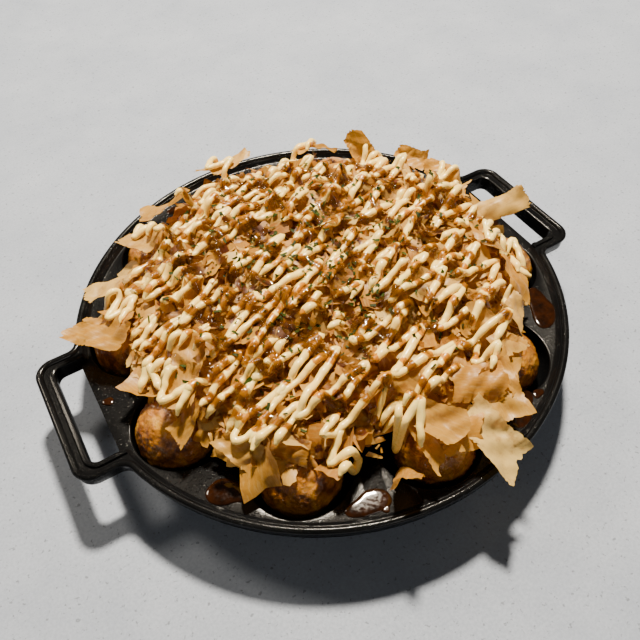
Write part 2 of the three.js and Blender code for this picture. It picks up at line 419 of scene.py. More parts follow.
def aonori():
    """Dried green seaweed, dull and veined."""
    m = Nodes("aonori", Specular_IOR_Level=0.15)
    shades = [(0.3, (0.005, 0.011, 0.0002)), (0.7, (0.036, 0.058, 0.0006))]
    colour = m.ramp(m.noise(2.5, detail=3), shades)
    veins = m.noise(0.35, detail=3)
    relief = m.bump(veins, 0.12, 0.8)
    return m.use(Base_Color=colour, Roughness=m.spread(veins, 0.3, 0.7, 0.45, 0.75), Normal=relief)


def pale_floor():
    """A plain pale floor with fine grain and small pits."""
    m = Nodes("pale_floor", Specular_IOR_Level=0.3)
    fine = m.noise(1.3, detail=3)
    shades = [(0.3, (0.27, 0.315, 0.40)), (0.7, (0.35, 0.40, 0.49))]
    colour = m.ramp(m.noise(60, detail=6, roughness=0.7), shades)
    colour = m.mix(m.spread(fine, 0.35, 0.65, 0, 0.25), colour, (0.20, 0.225, 0.28))
    pits = m.spread(m.noise(2.2, detail=2), 0.62, 0.70, 0, 0.55)
    colour = m.mix(pits, colour, (0.08, 0.088, 0.105))
    rough = m.spread(fine, 0.3, 0.7, 0.55, 0.75)
    return m.use(Base_Color=colour, Roughness=rough, Normal=m.bump(fine, 0.2, 0.4))


# ---- Pan ----


def arc(cx, cy, radius, start, end, steps):
    """Points along an arc between two angles in degrees."""
    turn = np.radians(np.linspace(start, end, steps + 1))
    return np.stack([cx + radius * np.cos(turn), cy + radius * np.sin(turn)], 1)


def pan_outline(inset):
    """The pan's plan outline, moved inwards: a handle's bar and corner, the root fillet, then the rim."""
    fillet_y = HANDLE_HALF_WIDTH + HANDLE_ROOT_FILLET
    fillet_x = math.sqrt((PAN_RADIUS + HANDLE_ROOT_FILLET) ** 2 - fillet_y ** 2)
    root = math.degrees(math.atan2(fillet_y, fillet_x))
    corner = (HANDLE_REACH - HANDLE_CORNER, HANDLE_HALF_WIDTH - HANDLE_CORNER)
    quarter = np.concatenate([
        arc(*corner, HANDLE_CORNER - inset, 0, 90, 16),
        arc(fillet_x, fillet_y, HANDLE_ROOT_FILLET + inset, 270, 180 + root, 10),
        arc(0, 0, PAN_RADIUS - inset, root, 90, 48)[1:]])
    half = np.concatenate([quarter, quarter[:-1][::-1] * [-1, 1]])
    return np.concatenate([half, half[::-1] * [1, -1]])


def rounded_rectangle(x0, x1, half_width, corner, inset=0.0):
    """A plan outline from x0 to x1 whose two corners at x1 are round, moved inwards."""
    half = half_width - inset
    reach = x1 - inset
    radius = corner - inset
    return np.concatenate([
        arc(reach - radius, half - radius, radius, 0, 90, 10), [[x0, half], [x0, -half]],
        arc(reach - radius, radius - half, radius, 270, 360, 10)])


def loft(name, levels):
    """A closed solid through matching outlines, given as (outline, height)."""
    count = len(levels[0][0])
    points = np.concatenate([np.column_stack([outline, np.full(count, z)]) for outline, z in levels])
    return make_object(name, points, capped_faces(len(levels), count), None)


def lathe(name, profile, segments, centre=(0, 0)):
    """A closed solid turned about a vertical axis, from a profile that starts and ends on it."""
    turn = np.linspace(0, TURN, segments, endpoint=False)
    body = np.array(profile[1:-1])
    points = np.stack([
        body[:, :1] * np.cos(turn), body[:, :1] * np.sin(turn), np.repeat(body[:, 1:], segments, 1)], -1)
    ends = [[0, 0, profile[0][1]], [0, 0, profile[-1][1]]]
    points = np.concatenate([points.reshape(-1, 3), ends])
    points[:, :2] += centre
    return make_object(name, points, tipped_faces(len(body), segments), None)


def turned(obj, angle):
    obj.data.transform(Matrix.Rotation(angle, 4, "Z"))
    return obj


def well_centres():
    """The wells' centres, ring by ring."""
    for count, ring, first in WELL_RINGS:
        for i in range(count):
            angle = math.radians(first + 360 * i / count)
            yield ring * math.cos(angle), ring * math.sin(angle)


def well_shell(centre):
    """The bowl's outside, down to a small flat foot at the table."""
    outer = WELL_RADIUS + WELL_WALL
    start = math.asin(WELL_PAD_RADIUS / outer)
    turn = np.linspace(start, math.pi / 2, 20)
    bowl = [(outer * math.sin(t), WELL_CENTRE_Z - outer * math.cos(t)) for t in turn]
    foot_z = bowl[0][1]
    return lathe("shell", [
        (0, 0), (WELL_PAD_RADIUS - 0.6, 0), (WELL_PAD_RADIUS, 0.6), (WELL_PAD_RADIUS, foot_z), *bowl[1:],
        (0, WELL_CENTRE_Z)], WELL_SEGMENTS, centre)


def well_cavity(centre):
    """The bowl and its rounded lip, where the bowl opens into the plate."""
    bowl = [(WELL_RADIUS * math.sin(t), WELL_CENTRE_Z - WELL_RADIUS * math.cos(t))
            for t in np.linspace(0, math.pi / 2, 22)]
    lip = arc(WELL_RADIUS + WELL_LIP, PLATE_TOP - WELL_LIP, WELL_LIP, 180, 90, 5)
    above = PLATE_TOP + 9
    return lathe("cavity", [*bowl, *map(tuple, lip), (WELL_RADIUS + WELL_LIP, above), (0, above)],
                 WELL_SEGMENTS, centre)


def boolean(obj, cutter, operation):
    """Joins the other object to this one, or cuts it away. Returns the other, to be removed later."""
    modifier = obj.modifiers.new(operation, "BOOLEAN")
    modifier.operation = operation
    modifier.solver = "MANIFOLD"
    modifier.object = cutter
    return cutter


def handle_hole(inset, far=0.0, near=0.0):
    """The outline of a handle's hole, moved inwards, with its far sides moved out and its near end in."""
    half_width, corner = HOLE_HALF_WIDTH + far, HOLE_CORNER + far
    return rounded_rectangle(HOLE_NEAR - near, HOLE_FAR + far, half_width, corner, inset)


def make_pan(material):
    """The rim's bead lofted round the outline, then the handles, plate and wells joined and cut."""
    bead = [
        (3.0, PLATE_UNDERSIDE), (1.7, PLATE_UNDERSIDE + 0.25), (1.2, PLATE_UNDERSIDE + 1.1),
        (0.8, RIM_STEP_Z - 0.9), (0.25, RIM_STEP_Z - 0.4), (0, RIM_STEP_Z + 0.15), (0.1, RIM_TOP - 0.75),
        (0.45, RIM_TOP - 0.32), (1.0, RIM_TOP - 0.07), (1.7, RIM_TOP), (2.3, RIM_TOP - 0.1),
        (2.8, RIM_TOP - 0.4), (3.15, RIM_TOP - 0.85), (3.4, RIM_STEP_Z)]
    pan = loft("iron_pan", [(pan_outline(inset), z) for inset, z in bead])
    above = RIM_TOP + 5
    ridge_levels = [
        (0, RIM_STEP_Z - 1), (0, RIDGE_TOP - 0.5), (0.2, RIDGE_TOP - 0.15), (0.7, RIDGE_TOP)]
    hole_levels = [
        (0, 0), (0, RIDGE_TOP - 0.8), (-0.2, RIDGE_TOP - 0.3), (-0.8, RIDGE_TOP), (-0.8, above)]
    used = []
    for angle in (0, math.pi):
        ridge = loft("ridge", [(handle_hole(inset, RIDGE_WIDTH, 10), z) for inset, z in ridge_levels])
        used.append(boolean(pan, turned(ridge, angle), "UNION"))
        hole = loft("hole", [(handle_hole(inset), z) for inset, z in hole_levels])
        used.append(boolean(pan, turned(hole, angle), "DIFFERENCE"))
        landing = loft("landing", [(handle_hole(0, near=15), z) for z in (PLATE_TOP, above)])
        used.append(boolean(pan, turned(landing, angle), "DIFFERENCE"))
    slope = [
        (PLATE_RADIUS - 0.5, PLATE_TOP), (PLATE_RADIUS, PLATE_TOP + 0.2),
        (RIM_STEP_RADIUS - 0.4, RIM_STEP_Z - 0.5), (RIM_STEP_RADIUS, RIM_STEP_Z + 0.1)]
    pocket = lathe("pocket", [(0, PLATE_TOP), *slope, (RIM_STEP_RADIUS, above), (0, above)], 300)
    used.append(boolean(pan, pocket, "DIFFERENCE"))
    for centre in well_centres():
        used.append(boolean(pan, well_shell(centre), "UNION"))
    for centre in well_centres():
        used.append(boolean(pan, well_cavity(centre), "DIFFERENCE"))
    evaluated = pan.evaluated_get(bpy.context.evaluated_depsgraph_get())
    shaped = bpy.data.meshes.new_from_object(evaluated)
    pan.modifiers.clear()
    pan.data = shaped
    for cutter in used:
        bpy.data.objects.remove(cutter)
    shaped.shade_smooth()
    shaped.set_sharp_from_angle(angle=math.radians(32))
    shaped.materials.clear()
    shaped.materials.append(material)
    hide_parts("pan")
    return pan


# ---- Balls ----


def make_ball(node, index, material):
    """A ball with soft lumps, dimples and blistered skin, in the space of its CAD solid."""
    low, high = box_mm(node)
    centre = (low + high) / 2
    radius = (high - low).min() / 2
    outer = math.hypot(centre[0], centre[1]) > WELL_RINGS[1][1] + WELL_RADIUS
    bpy.ops.mesh.primitive_ico_sphere_add(subdivisions=6 if outer else 5, radius=1)
    ball = bpy.context.object
    ball.name = ball.data.name = f"takoyaki_{index + 1:02d}"
    directions = np.empty(len(ball.data.vertices) * 3)
    ball.data.vertices.foreach_get("co", directions)
    directions = directions.reshape(-1, 3)
    directions /= np.linalg.norm(directions, axis=1)[:, None]
    surface = directions * radius
    relief = 0.55 * smooth_noise(surface, 11, index + 1, 2)
    relief += 0.42 * smooth_noise(surface, 3.0, index + 31, 3)
    relief -= 0.35 * np.abs(smooth_noise(surface, 5.5, index + 61, 2))
    points = centre + directions * (radius - 0.15 + np.minimum(relief, 0.35))[:, None]
    ball.data.vertices.foreach_set("co", (points * MM).ravel())
    # crown is how far each point faces up; the batter uses it for painted shade on the ball's underside.
    ball.data.attributes.new("crown", "FLOAT", "POINT").data.foreach_set("value", directions[:, 2])
    ball.data.shade_smooth()
    ball.data.materials.append(material)
    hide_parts(node)
    return ball, centre, radius


# ---- Heap ----


def heap_edge(angle):
    """The radius at which the heap ends, which wanders round the pan."""
    lobes = 3 * np.sin(2 * angle + 1) + 2.2 * np.sin(5 * angle) + 1.6 * np.cos(9 * angle + 2)
    return HEAP_RADIUS + lobes


def heap_height(x, y, balls):
    """The core's height: a low dome with steep shoulders, swelling over each ball."""
    share = np.minimum(np.hypot(x, y) / heap_edge(np.arctan2(y, x)), 1)
    dome = HEAP_EDGE_TOP + (HEAP_TOP - HEAP_EDGE_TOP) * (1 - share ** 3)
    swell = sum(np.exp(-((x - c[0]) ** 2 + (y - c[1]) ** 2) / (0.6 * r * r)) for c, r in balls)
    return dome + HEAP_LUMP * swell * (1 - share ** 4)


def make_core(balls):
    """Packed shavings under the loose ones: layered relief on a dome that closes under its edge."""
    rings, sectors = 70, 220
    share = np.concatenate([np.linspace(0.02, 1, rings) ** 0.8, [0.97, 0.9, 0.5, 0.02]])[:, None]
    angle = np.linspace(0, TURN, sectors, endpoint=False)[None, :]
    radius = share * heap_edge(angle)
    x, y = radius * np.cos(angle), radius * np.sin(angle)
    z = heap_height(x, y, balls)
    z[rings:] = HEAP_FOOT
    points = np.stack([x, y, z], -1).reshape(-1, 3)
    folds = np.abs(smooth_noise(points * [1, 1, 0.3], 9, 3, 3))
    layers = smooth_noise(points, 3.2, 8, 2)
    points[:rings * sectors, 2] += 2.2 * folds[:rings * sectors] + 0.7 * layers[:rings * sectors] - 1.2
    # Painted shade: the core's tone is centred lower than the loose shavings', so the gaps between them look
    # deep and shaded.
    tone = 0.35 + 0.5 * smooth_noise(points, 6, 5, 2)
    attributes = {"tone": np.clip(tone, 0, 1), "grain": points * [0.02, 0.05, 0.05]}
    return points, capped_faces(len(share), sectors), attributes


def torn_edge(rng, count, tear):
    """How far a torn edge is eaten in at each of its points: a wandering line with a few deeper rips."""
    depth = rng.uniform(0, 0.10)
    wave = np.linspace(0, rng.uniform(2, 6), count) + rng.uniform(0, TURN)
    bend = depth * (1 + np.sin(wave))
    rips = rng.uniform(0.03, 0.13, count) * (rng.random(count) < 0.28)
    return bend + tear * (rips + rng.uniform(0, 0.035, count))


def shaving(rng, length, width, rows, columns, curl, twist, cup, tear=1.0):
    """One torn bonito shaving about its middle: curled along its length, twisted, cupped and rippled."""
    s = np.linspace(0, 1, rows)[:, None]
    t = np.linspace(-1, 1, columns)[None, :]
    torn_start, torn_end = torn_edge(rng, columns, tear), torn_edge(rng, columns, tear)
    q = torn_start + (1 - torn_start - torn_end) * s - 0.5
    frayed = 1 - np.stack([torn_edge(rng, rows, tear), torn_edge(rng, rows, tear)], 1) * 1.3
    lean = rng.uniform(-0.35, 0.35)
    taper = 1 - rng.uniform(0.0, 0.55) * s
    half = 0.5 * width * np.where(t < 0, frayed[:, :1], frayed[:, 1:]) * taper
    across = half * t + lean * width * q
    bend = curl if abs(curl) > 0.05 else 0.05
    x = length / bend * np.sin(bend * q)
    z = length / bend * (1 - np.cos(bend * q))
    phase = rng.uniform(0, TURN, 3)
    z = z + 0.035 * width * np.sin(9 * q + 2 * t + phase[0])
    z = z + 0.025 * width * np.sin(17 * q - 4 * t + phase[1])
    z = z + cup * width * t * t
    y = across * np.cos(twist * q)
    z = z + across * np.sin(twist * q)
    points = np.stack([x + 0 * t, y, z], -1).reshape(-1, 3)
    place = np.full_like(across, rng.uniform(0, 90))
    grain = np.stack([q + 0 * t, across / 10, place], -1).reshape(-1, 3)
    return points, grain


def rotation(yaw, tilt, tilt_towards, roll=0.0):
    """Turns about Z by yaw, then leans by tilt towards a heading, all in radians."""
    axis = Vector((-math.sin(tilt_towards), math.cos(tilt_towards), 0))
    lean = Matrix.Rotation(tilt, 3, axis)
    return np.array(lean @ Matrix.Rotation(yaw, 3, "Z") @ Matrix.Rotation(roll, 3, "X"))


# Large shavings that stand out, as (heading and distance from the centre, height, length and width,
# yaw, tilt, the heading it leans to, curl, tone). Angles in degrees.
LARGE_SHAVINGS = (
    (166, 103, 46, 36, 19, 125, 16, 170, 0.5, 0.45),
    (153, 98, 51, 27, 16, 7, 24, 120, 0.6, 0.85),
    (279, 111, 42, 33, 20, 111, 20, 262, -0.5, 0.97),
    (288, 101, 47, 28, 18, 80, 22, 250, 0.9, 0.60),
    (353, 98, 53, 36, 16, 161, 34, 200, 1.3, 0.82),
    (92, 96, 53, 30, 18, 12, 25, 95, 0.8, 0.80),
    (27, 97, 53, 20, 14, 120, 40, 210, 0.8, 0.55),
    (15, 92, 55, 25, 16, 106, 34, 200, -0.9, 0.50),
    (303, 86, 54, 30, 19, 90, 24, 300, 0.7, 0.75),
    (296, 95, 49, 30, 20, 20, 32, 300, 0.4, 0.55),
    (284, 92, 52, 28, 18, 150, 22, 260, 0.7, 0.40),
    (266, 97, 48, 32, 17, 104, 30, 265, 0.5, 0.62),
    (258, 107, 42, 24, 16, 53, 58, 80, 0.4, 0.35),
    (220, 95, 46, 22, 16, 113, 36, 230, -0.5, 0.65),
    (197, 80, 55, 34, 16, 60, 18, 200, 0.5, 0.60),
    (310, 53, 59, 30, 20, 136, 12, 300, 0.7, 0.78),
    (118, 94, 51, 30, 17, 150, 35, 110, 0.9, 0.60),
    (60, 92, 53, 30, 17, 20, 35, 60, -0.8, 0.65),
    (45, 97, 51, 24, 15, 80, 55, 230, 0.9, 0.50),
    (231, 92, 48, 22, 11, 140, 40, 235, 0.7, 0.30),
    (325, 92, 52, 26, 16, 55, 40, 330, -0.7, 0.45),
    (135, 88, 53, 30, 16, 120, 20, 140, 0.6, 0.75),
    (205, 94, 48, 22, 12, 10, 35, 205, 0.9, 0.45),
    (312, 92, 52, 24, 16, 30, 30, 310, 0.9, 0.80),
    (268, 93, 52, 32, 18, 125, 24, 262, 0.8, 0.62),
    (273, 103, 46, 24, 15, 165, 30, 262, 0.8, 0.50),
    (340, 84, 55, 26, 15, 70, 22, 340, 0.8, 0.60),
    (6, 84, 56, 24, 16, 140, 20, 0, 0.8, 0.75),
    (268, 74, 56, 26, 16, 150, 16, 270, 0.7, 0.60),
)


def add_shaving(parts, rng, place, length, width, curl, turn, tone, grid, tear=1.0, crumple=0.0):
    """Adds one shaving on a grid of (rows, columns), moved to its place, with creases of a given depth."""
    rows, columns = grid
    twist = rng.uniform(-0.7, 0.7)
    cup = rng.uniform(-0.16, 0.16)
    points, grain = shaving(rng, length, width, rows, columns, curl, twist, cup, tear)
    if crumple:
        seed = rng.uniform(0, 9)
        creases = np.abs(smooth_noise(points, 15, seed, 1))
        points[:, 2] += crumple * (creases + 0.12 * smooth_noise(points, 5, seed, 2))
    points = points @ turn.T + place
    parts.add(points, grid_faces(rows, columns), grain=grain, tone=np.full(len(points), tone))


def scatter_shavings(balls, parts):
    """Loose shavings all over the heap, which lie flatter towards its middle and hang out at its edge."""
    rng = np.random.default_rng(11)
    for _ in range(SHAVING_COUNT):
        angle = rng.uniform(0, TURN)
        share = math.sqrt(rng.uniform(0, 1.10))
        radius = share * heap_edge(angle)
        x, y = radius * math.cos(angle), radius * math.sin(angle)
        rim = max(share - 0.8, 0) / 0.2
        sizes = [rng.uniform(least, most) for least, most, _ in SHAVING_SIZES]
        size = rng.choice(sizes, p=[part for _, _, part in SHAVING_SIZES])
        width = size * rng.uniform(0.32, 0.7)
        lift = rng.uniform(0.2, 4.6) * (1 - 0.3 * rim)
        z = float(heap_height(x, y, balls)) + lift - 1.5 * max(share - 1, 0) / 0.06
        tilt = math.radians(rng.choice([rng.uniform(0, 24), rng.uniform(20, 62)], p=[0.66, 0.34]))
        outwards = math.radians(30) * rim
        turn = rotation(rng.uniform(0, TURN), tilt, rng.uniform(0, TURN), rng.uniform(-0.2, 0.2))
        turn = rotation(0, outwards, angle) @ turn
        curl = rng.uniform(0.3, 1.7) * rng.choice([-1, 1])
        tone = float(np.clip(rng.normal(0.5, 0.27), 0, 1))
        grid = (9 if size > 19 else 7, 5)
        add_shaving(parts, rng, (x, y, z), size, width, curl, turn, tone, grid)


def large_shavings(parts):
    """The large shavings of the table above, with plainer edges and a few creases."""
    rng = np.random.default_rng(4)
    for heading, distance, z, length, width, yaw, tilt, towards, curl, tone in LARGE_SHAVINGS:
        angle = math.radians(heading)
        place = (distance * math.cos(angle), distance * math.sin(angle), z)
        turn = rotation(math.radians(yaw), math.radians(tilt), math.radians(towards))
        add_shaving(parts, rng, place, length, width, curl, turn, tone, (34, 19), tear=0.45, crumple=2.6)


def scatter_slivers(balls, parts):
    """Narrow slivers and crumbs of bonito round the heap's edge and on top of the strands."""
    rng = np.random.default_rng(29)
    for _ in range(SLIVER_COUNT):
        angle = rng.uniform(0, TURN)
        share = rng.choice([rng.uniform(0.86, 1.06), math.sqrt(rng.uniform(0, 0.9))])
        radius = share * heap_edge(angle)
        x, y = radius * math.cos(angle), radius * math.sin(angle)
        z = float(heap_height(x, y, balls)) + rng.uniform(2.5, 6.5) - 9 * max(share - 0.97, 0) / 0.09
        size = rng.uniform(2.5, 9)
        tilt = math.radians(rng.uniform(0, 60))
        turn = rotation(rng.uniform(0, TURN), tilt, angle)
        width, curl, tone = rng.uniform(0.9, 2.6), rng.uniform(-1.2, 1.2), rng.uniform(0.1, 1)
        add_shaving(parts, rng, (x, y, z), size, width, curl, turn, tone, (5, 3))


# ---- Strands ----


def ball_shape(ball):
    """A ball's points in millimetres, and its faces."""
    points = np.empty(len(ball.data.vertices) * 3)
    ball.data.vertices.foreach_get("co", points)
    return points.reshape(-1, 3) / MM, [list(polygon.vertices) for polygon in ball.data.polygons]


def surface_of(*shapes):
    """A tree to look straight down on, from (points, faces) in millimetres."""
    points, faces, offset = [], [], 0
    for shape_points, shape_faces in shapes:
        points.extend(map(tuple, shape_points))
        faces.extend([[i + offset for i in face] for face in shape_faces])
        offset += len(shape_points)
    return BVHTree.FromPolygons(points, faces)


def top_of(tree, x, y, below):
    """The height of the surface under a point, or the given one where there is none."""
    hit = tree.ray_cast(Vector((x, y, ABOVE_ALL)), Vector((0, 0, -1)))[0]
    return hit.z if hit else below


def zigzag(rng, band_x, start, end, half_stroke, pitch, direction):
    """A squeezed-out zigzag: parallel strokes with round turns, swept across a band of the heap."""
    strokes = int((end - start) / pitch)
    steps_per_stroke = 44
    t = np.linspace(0, strokes, strokes * steps_per_stroke)
    phase = t % 2
    saw = np.where(phase < 1, 2 * phase - 1, 3 - 2 * phase)
    swing = np.sin(saw * math.pi / 2) * 0.35 + saw * 0.65
    uneven = np.interp(t, np.arange(strokes + 1), rng.uniform(-1, 1, strokes + 1))
    reach = half_stroke * (1 + 0.22 * uneven)
    drift = 2.2 * np.sin(t * 0.37 + rng.uniform(0, TURN)) + 1.2 * np.sin(t * 1.3 + rng.uniform(0, TURN))
    u = band_x + reach * swing + drift
    hurry = np.interp(t, np.arange(strokes + 1), rng.uniform(-0.35, 0.35, strokes + 1) * pitch)
    v = start + pitch * t + hurry
    u, v = smoothed(u, 5), smoothed(v, 7)
    u = u + 0.5 * np.sin(v * 1.9 + u * 0.35)
    x = u * math.cos(direction) - v * math.sin(direction)
    y = u * math.sin(direction) + v * math.cos(direction)
    return x, y


def resampled(x, y):
    """The same plan path with evenly spaced points."""
    distance = np.concatenate([[0], np.cumsum(np.hypot(np.diff(x), np.diff(y)))])
    at = np.arange(0, distance[-1], STRAND_STEP)
    return np.interp(at, distance, x), np.interp(at, distance, y)


def runs(kept):
    """Start and end of each run of kept points."""
    edges = np.flatnonzero(np.diff(np.concatenate([[0], kept.astype(int), [0]])))
    return zip(edges[::2], edges[1::2])


def drape(tree, x, y, radii, sink, reach):
    """A strand's heights where it lies on what is under it, sagging between the high places."""
    top = np.array([top_of(tree, a, b, PLATE_TOP) for a, b in zip(x, y)])
    pad = np.pad(top, reach, mode="edge")
    windows = np.lib.stride_tricks.sliding_window_view(pad, 2 * reach + 1)
    held = np.percentile(windows, STRAND_HELD_AT, axis=1)
    return smoothed(held, reach) + radii * sink


def strand_paths(seed, bands, half_stroke, pitch, direction, spread):
    """Zigzags in parallel bands over the heap, cut off beyond the heap's edge."""
    rng = np.random.default_rng(seed)
    for band in bands:
        limit = math.sqrt(max(spread ** 2 - band ** 2, 0))
        start = -limit + rng.uniform(-2, 3)
        x, y = zigzag(rng, band, start, limit, half_stroke, pitch, direction)
        x, y = resampled(x, y)
        inside = np.hypot(x, y) < heap_edge(np.arctan2(y, x))
        for first, last in runs(inside):
            if last - first > 8:
                yield x[first:last], y[first:last]


# Loops of mayonnaise that hang over the edge onto the balls, as (heading in degrees, distance,
# stroke direction in degrees, strokes, stroke length, pitch)
EDGE_LOOPS = (
    (199, 91, 20, 3, 13, 5.0), (188, 92, 75, 2, 12, 5.5), (342, 93, 50, 5, 15, 4.6),
    (330, 96, 100, 2, 11, 4.5), (246, 92, 10, 3, 13, 4.4), (262, 89, 35, 4, 14, 4.6),
    (222, 88, 20, 3, 12, 4.6), (95, 93, 30, 3, 13, 5), (66, 92, 25, 4, 14, 5), (40, 92, 20, 3, 14, 5),
    (130, 92, 25, 3, 12, 5), (160, 93, 25, 4, 14, 5), (12, 92, 20, 3, 13, 5), (294, 88, 15, 3, 12, 5),
)


def edge_loops(rng):
    """Plan paths of the loops in the table above."""
    for heading, distance, direction, strokes, length, pitch in EDGE_LOOPS:
        angle, direction = math.radians(heading), math.radians(direction)
        x, y = zigzag(rng, 0, -strokes * pitch / 2, strokes * pitch / 2, length / 2, pitch, direction)
        yield resampled(x + distance * math.cos(angle), y + distance * math.sin(angle))


def make_mayo(tree):
    """Zigzags over the whole heap with gaps where the bottle lifted, and loops round its edge."""
    parts = Parts()
    rng = np.random.default_rng(5)
    bands = (-78, -47, -16, 15, 46, 76)
    pieces = []
    for x, y in strand_paths(21, bands, 17, MAYO_PITCH, MAYO_DIRECTION, 93):
        spots = np.column_stack([x, y, np.zeros(len(x))])
        kept = smooth_noise(spots, 17, 71, 2) > MAYO_GAPS
        pieces += [(x[a:b], y[a:b]) for a, b in runs(kept) if b - a > 12]
    pieces += list(edge_loops(rng))
    for x, y in pieces:
        count = len(x)
        swell = smooth_noise(np.column_stack([x, y, np.zeros(count)]), 6, 12, 2)
        radii = MAYO_RADIUS * (1 + 0.32 * swell)
        taper = np.minimum(np.arange(count), np.arange(count)[::-1]) / 4
        radii *= np.clip(np.sqrt(taper), 0.45, 1)
        z = drape(tree, x, y, radii, 0.85, 4)
        parts.add(*tube(np.column_stack([x, y, z]), radii, 9, MAYO_FLATNESS))
    return parts


def draped_ribbon(tree, path, half_widths):
    """A sheet of thick liquid that follows what it lies on, domed across and thin at its sides."""
    ahead = np.gradient(path, axis=0)
    ahead /= np.linalg.norm(ahead, axis=1)[:, None] + 1e-9
    side = np.stack([-ahead[:, 1], ahead[:, 0]], 1)
    t = np.linspace(-1, 1, SAUCE_COLUMNS)
    spots = path[:, None] + side[:, None] * (half_widths[:, None] * t)[..., None]
    heights = np.array([[top_of(tree, x, y, PLATE_TOP) for x, y in row] for row in spots])
    held = np.pad(heights, ((2, 2), (1, 1)), mode="edge")
    heights = np.lib.stride_tricks.sliding_window_view(held, (5, 3)).max((2, 3))
    for column in range(SAUCE_COLUMNS):
        heights[:, column] = smoothed(heights[:, column], 4)
    for _ in range(3):
        heights[:, 1:-1] = 0.4 * heights[:, 1:-1] + 0.3 * (heights[:, :-2] + heights[:, 2:])
    swell = np.sqrt(np.clip(1 - t ** 2, 0, 1)) * np.minimum(half_widths / half_widths.max(), 1)[:, None]
    z = heights - SAUCE_SINK + (SAUCE_SINK + SAUCE_DEPTH) * swell
    return np.concatenate([spots, z[..., None]], -1).reshape(-1, 3)


def make_sauce(tree):
    """Broken zigzags of sauce over the heap. Returns them with the points along their middles."""
    parts = Parts()
    paths = []
    bands = (-74, -50, -25, 0, 24, 49, 73)
    for x, y in strand_paths(33, bands, 20, SAUCE_PITCH, SAUCE_DIRECTION, 88):
        spots = np.column_stack([x, y, np.zeros(len(x))])
        flow = smooth_noise(spots, 8, 40, 3)
        kept = smooth_noise(spots, 13, 44, 2) > SAUCE_GAPS
        half_widths = SAUCE_HALF_WIDTH * (1 + 0.9 * flow)
        for first, last in runs(kept):
            count = last - first
            if count < 7:
                continue
            taper = np.minimum(np.arange(count), np.arange(count)[::-1]) / 5
            narrowing = np.sin(np.clip(taper, 0.05, 1) * math.pi / 2)
            widths = np.maximum(half_widths[first:last], 0.7) * narrowing
            points = draped_ribbon(tree, spots[first:last, :2], widths)
            parts.add(points, grid_faces(count, SAUCE_COLUMNS))
            paths.append(points.reshape(count, SAUCE_COLUMNS, 3)[:, SAUCE_COLUMNS // 2])
    return parts, np.concatenate(paths)


def stain_near(points, sauce_path, reach):
    """How much sauce each point has taken up, from 1 beside a ribbon of it to 0 at that reach."""
    tree = KDTree(len(sauce_path))
    for i, (x, y, z) in enumerate(sauce_path):
        tree.insert(Vector((x, y, 0.6 * z)), i)
    tree.balance()
    gap = np.array([tree.find(Vector((x, y, 0.6 * z)))[2] for x, y, z in points])
    return np.clip(1 - (gap - 0.4 * reach) / (0.6 * reach), 0, 1)


# ---- Flecks, drops ----


def scatter_aonori(tree, material):
    """Crumbled aonori: small curled flecks, thickest over the middle of the heap."""
    rng = np.random.default_rng(8)
    parts = Parts()
    while len(parts.vertices) < FLECK_COUNT:
        x, y = rng.normal(0, 34, 2) if rng.random() < 0.72 else rng.uniform(-90, 90, 2)
        if math.hypot(x, y) > 0.95 * heap_edge(math.atan2(y, x)):
            continue
        z = top_of(tree, x, y, PLATE_TOP) + 0.4
        size = rng.uniform(0.9, 2.3)
        turn = rotation(rng.uniform(0, TURN), rng.uniform(0, 0.8), rng.uniform(0, TURN))
        width, curl = size * rng.uniform(0.5, 1.1), rng.uniform(-1.8, 1.8)
        points, _ = shaving(rng, 2 * size, width, 4, 3, curl, twist=0.4, cup=0.1)
        parts.add(points @ turn.T + (x, y, z), grid_faces(4, 3))
    return parts.make("aonori", material)


def drop(rng, radius, height, stretch, heading):
    """A drop of liquid lying on the plate: a wandering outline under a low round top."""
    rings, sectors = 9, 36
    angle = np.linspace(0, TURN, sectors, endpoint=False)[None, :]
    share = np.sin(np.linspace(0.04, 1, rings) * math.pi / 2)[:, None]
    phase = rng.uniform(0, TURN, 3)
    edge = radius * (1 + 0.16 * np.sin(2 * angle + phase[0]) + 0.10 * np.sin(3 * angle + phase[1]))
    x = edge * share * np.cos(angle) * stretch
    y = edge * share * np.sin(angle)
    z = 0.7 * height * np.sqrt(np.clip(1 - share ** 7, 0, 1)) + 0 * angle
    c, s = math.cos(heading), math.sin(heading)
    points = np.stack([x * c - y * s, x * s + y * c, z], -1).reshape(-1, 3)
    return points, capped_faces(rings, sectors)


# Drops and pools of sauce on the plate, as (heading in degrees, distance, size, height, stretch)
PLATE_DROPS = (
    (180, 110.7, 2.3, 1.0, 1.1), (177.5, 100.5, 1.5, 0.7, 1.4), (299, 112.3, 2.2, 0.8, 1.2),
    (293, 109, 5.5, 1.0, 1.7), (325, 108.5, 6.5, 1.1, 1.8), (250, 108.5, 5.4, 0.9, 1.7),
    (219, 107.5, 6.0, 1.1, 1.5), (290, 111.5, 1.4, 0.6, 1.0), (253, 112.5, 1.3, 0.6, 1.3),
    (36, 107.5, 4.2, 0.9, 1.5), (0, 108, 5.0, 1.0, 1.5), (143, 108, 3.6, 0.8, 1.4),
    (72, 108, 3.2, 0.8, 1.3), (108, 108, 4.0, 0.8, 1.4), (324, 66, 6.5, 1.2, 1.3),
    (216, 66, 6.5, 1.2, 1.3), (144, 66, 6, 1.2, 1.3), (36, 66, 6, 1.2, 1.3),
)


def make_drops(material):
    rng = np.random.default_rng(17)
    parts = Parts()
    for heading, distance, radius, height, stretch in PLATE_DROPS:
        angle = math.radians(heading)
        points, faces = drop(rng, radius, height, stretch, angle + math.pi / 2)
        points += (distance * math.cos(angle), distance * math.sin(angle), PLATE_TOP - 0.02)
        parts.add(points, faces)
    return parts.make("sauce_drops", material)


# ---- Scene ----


def add_floor(material):
    size = 3000
    corners = [(-size, -size, 0), (size, -size, 0), (size, size, 0), (-size, size, 0)]
    floor = make_object("floor", corners, [(0, 1, 2, 3)], material)


